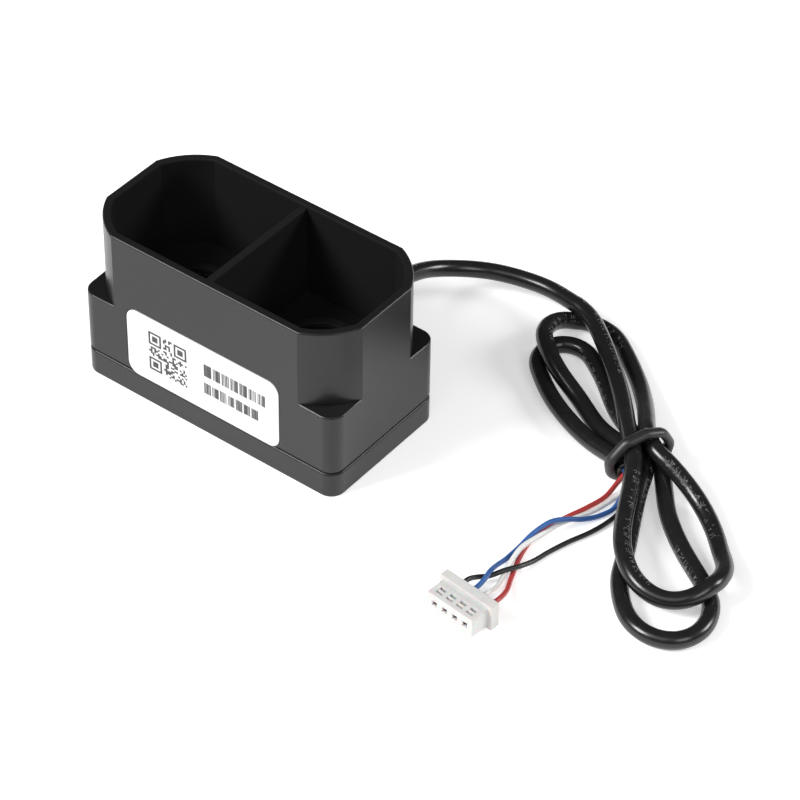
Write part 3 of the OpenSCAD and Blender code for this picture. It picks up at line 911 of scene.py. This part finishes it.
# ---- tie and grommet ----

def tie_outline():
    """Directions round the tie, and the outermost strand or bulge in each."""
    held = [(-2.8, 2.8), (2.7, 2.8), (-1.5, 5.5), (2.2, 5.4), (0.5, 5.9), (-3, 4.0), (3, 4)]
    count = 120
    turn = np.arange(count) * 2 * math.pi / count
    out = np.stack([np.cos(turn), np.sin(turn)], axis=1)
    line = np.array([max(held, key=lambda s: s[0] * o[0] + s[1] * o[1]) for o in out])
    line = line + CABLE_D / MM / 2 * out
    for _ in range(6):
        line += 0.25 * (np.roll(line, 1, axis=0) + np.roll(line, -1, axis=0) - 2 * line)
    return turn, out, line


def make_tie():
    """A rubber band drawn tight round the strands."""
    thick, wide, sides = 1.5, 1.9, 20
    points = []
    for a, out, edge in zip(*tie_outline()):
        lean = 0.5 * math.sin(a + 0.6)
        for k in range(sides):
            b = 2 * math.pi * k / sides
            rise = thick / 2 * (1 + math.cos(b))
            aside, height = edge + rise * out
            points.append(Vector(from_tie(TIE_HEADING, lean + wide / 2 * math.sin(b),
                                          aside, max(height, 0.02))) * MM)
    slices = len(points) // sides
    faces = [(i * sides + k, i * sides + (k + 1) % sides,
              (i + 1) % slices * sides + (k + 1) % sides, (i + 1) % slices * sides + k)
             for i in range(slices) for k in range(sides)]
    piece = new_piece("tie_band", mesh_from(points, faces), "tie_rubber", TIE_RUBBER)
    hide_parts("cable_tie")
    return piece


def make_grommet():
    """A bush in the rear wall, with grooves round its tapered nose."""
    inner, outer = 1.42, 12.7
    profile = [(inner, 10.3), (2.9, 10.3), (2.9, 11.1), (2.1, 11.1), (2.1, outer),
               (2.92, outer), (3, outer + 0.08), (3, outer + 0.8), (2.9, outer + 0.9),
               (2.5, outer + 0.95)]
    for k in range(5):
        start = outer + 1.25 + k * 0.95
        radius = 2.45 - 0.1 * k
        profile += [(radius, start), (radius - 0.35, start + 0.12),
                    (radius - 0.35, start + 0.42), (radius - 0.06, start + 0.54)]
    profile += [(1.9, outer + 6.2), (1.82, outer + 6.3), (inner, outer + 6.3)]
    axis = Matrix.Translation((6.5 * MM, 0, 9 * MM)) @ Matrix.Rotation(-math.pi / 2, 4, "X")
    piece = new_piece("grommet_bush", turned(profile, axis), "jacket_pvc", GROMMET_RUBBER)
    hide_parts("cable_grommet")
    return piece


tie = make_tie()
grommet = make_grommet()

# ---- finishes of the CAD nodes that have no piece of their own above ----

NODE_FINISHES = {
    "base_gasket": SEAL_RUBBER, "base_screws": STEEL, "mounting_inserts": BRASS, "label": FILM,
    "main_pcb": BOARD, "pcb_screws": STEEL, "laser_emitter": CERAMIC, "laser_driver": EPOXY,
    "photodetector": GILT, "detector_shield": TIN, "signal_processor": EPOXY,
    "power_inductor": FERRITE, "chip_capacitors": CERAMIC, "board_connector": NYLON,
    "inner_leads": CORES["wire_black"], "baffle_foam": SEAL_RUBBER, "emitter_barrel": ANODISED,
    "emitter_lens": GLASS, "emitter_retainer": ANODISED, "receiver_barrel": ANODISED,
    "receiver_filter": FILTER, "receiver_lens": GLASS, "receiver_retainer": ANODISED,
    "plug_terminals": TIN,
}

for node_name, finish in NODE_FINISHES.items():
    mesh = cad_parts[node_name].data
    mesh.materials.clear()
    mesh.materials.append(finish)

# Nodes that are shown by copies with rounded edges: node, slot and edge width in millimetres
SOFT_NODES = [
    ("base_screws", "screw_steel", 0.08), ("pcb_screws", "screw_steel", 0.06),
    ("emitter_barrel", "black_anodised", 0.12), ("receiver_barrel", "black_anodised", 0.12),
    ("emitter_retainer", "black_anodised", 0.05), ("receiver_retainer", "black_anodised", 0.05),
    ("detector_shield", "tin_plate", 0.1), ("board_connector", "natural_nylon", 0.08),
]

for node_name, slot_name, edge in SOFT_NODES:
    soft = new_piece(node_name + "_soft", clean_copy(node_name), slot_name,
                     NODE_FINISHES[node_name])
    soften(soft, edge * MM, 2)
    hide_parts(node_name)


def make_threads():
    """Thread crests inside the top of each barrel, above the retainer."""
    growth = Growth("barrel_threads")
    turns, pitch, crest = growth.inputs(turns=3, pitch=0.27 * MM, crest=0.09 * MM)
    section = growth.node("GeometryNodeCurvePrimitiveCircle", {}, {"Resolution": 6,
                                                                   "Radius": crest})
    rows = []
    for barrel, bore in (("emitter_barrel", 4.2), ("receiver_barrel", 5.6)):
        low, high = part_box(barrel)
        middle = (low + high) / 2
        ring = growth.node("GeometryNodeCurvePrimitiveCircle", {}, {"Resolution": 72,
                                                                    "Radius": bore * MM})
        hoop = growth.node("GeometryNodeCurveToMesh", {}, {"Curve": ring,
                                                           "Profile Curve": section})
        number = growth.node("GeometryNodeInputIndex")
        place = growth.vector(middle.x, middle.y, high.z - 0.15 * MM - number * pitch)
        rows.append(growth.repeat(growth.points(turns, place), hoop))
    mesh = growth.grown(growth.joined(*rows), ANODISED)
    mesh.polygons.foreach_set("use_smooth", [True] * len(mesh.polygons))
    new_piece("barrel_threads", mesh, "black_anodised", ANODISED)


make_threads()

# ---- floor and light ----

def make_floor():
    """A plain pale floor with a slight glow of its own."""
    half = 3.0
    mesh = mesh_from([(-half, -half, 0), (half, -half, 0), (half, half, 0), (-half, half, 0)],
                     [(0, 1, 2, 3)], smooth=False)
    floor = bpy.data.objects.new("floor", mesh)
    bpy.context.scene.collection.objects.link(floor)
    paint = Paint("floor_white")
    tint = paint.noise(0.6, 1)
    mesh.materials.append(paint.finish(
        Base_Color=paint.mix(tint, grey(0.9), grey(0.92)), Roughness=0.7,
        Specular_IOR_Level=0.2, Emission_Color=grey(1), Emission_Strength=0.42))


def soft_box(name, place, power, width, height):
    """A rectangular soft light that faces the middle of the object."""
    light = bpy.data.lights.new(name, "AREA")
    light.shape = "RECTANGLE"
    light.size = width
    light.size_y = height
    light.energy = power
    lamp = bpy.data.objects.new(name, light)
    bpy.context.scene.collection.objects.link(lamp)
    lamp.location = place
    lamp.rotation_mode = "QUATERNION"
    lamp.rotation_quaternion = (CAMERA_AIM - Vector(place)).to_track_quat("-Z", "Y")


def make_light():
    world = bpy.data.worlds.new("studio")
    bpy.context.scene.world = world
    world.use_nodes = True
    background = world.node_tree.nodes["Background"]
    background.inputs["Color"].default_value = grey(1)
    background.inputs["Strength"].default_value = 0.06
    soft_box("overhead", (0.12, -0.8, 1.05), 3, 0.9, 0.7)
    soft_box("key", (-0.53, -0.77, 0.78), 16, 0.46, 0.46)
    soft_box("right_fill", (0.85, -0.25, 0.72), 3, 0.5, 0.5)
    soft_box("rim", (0.8, 0.72, 0.54), 7, 0.38, 0.38)
    bpy.context.scene.view_settings.view_transform = "Standard"


make_floor()
make_light()
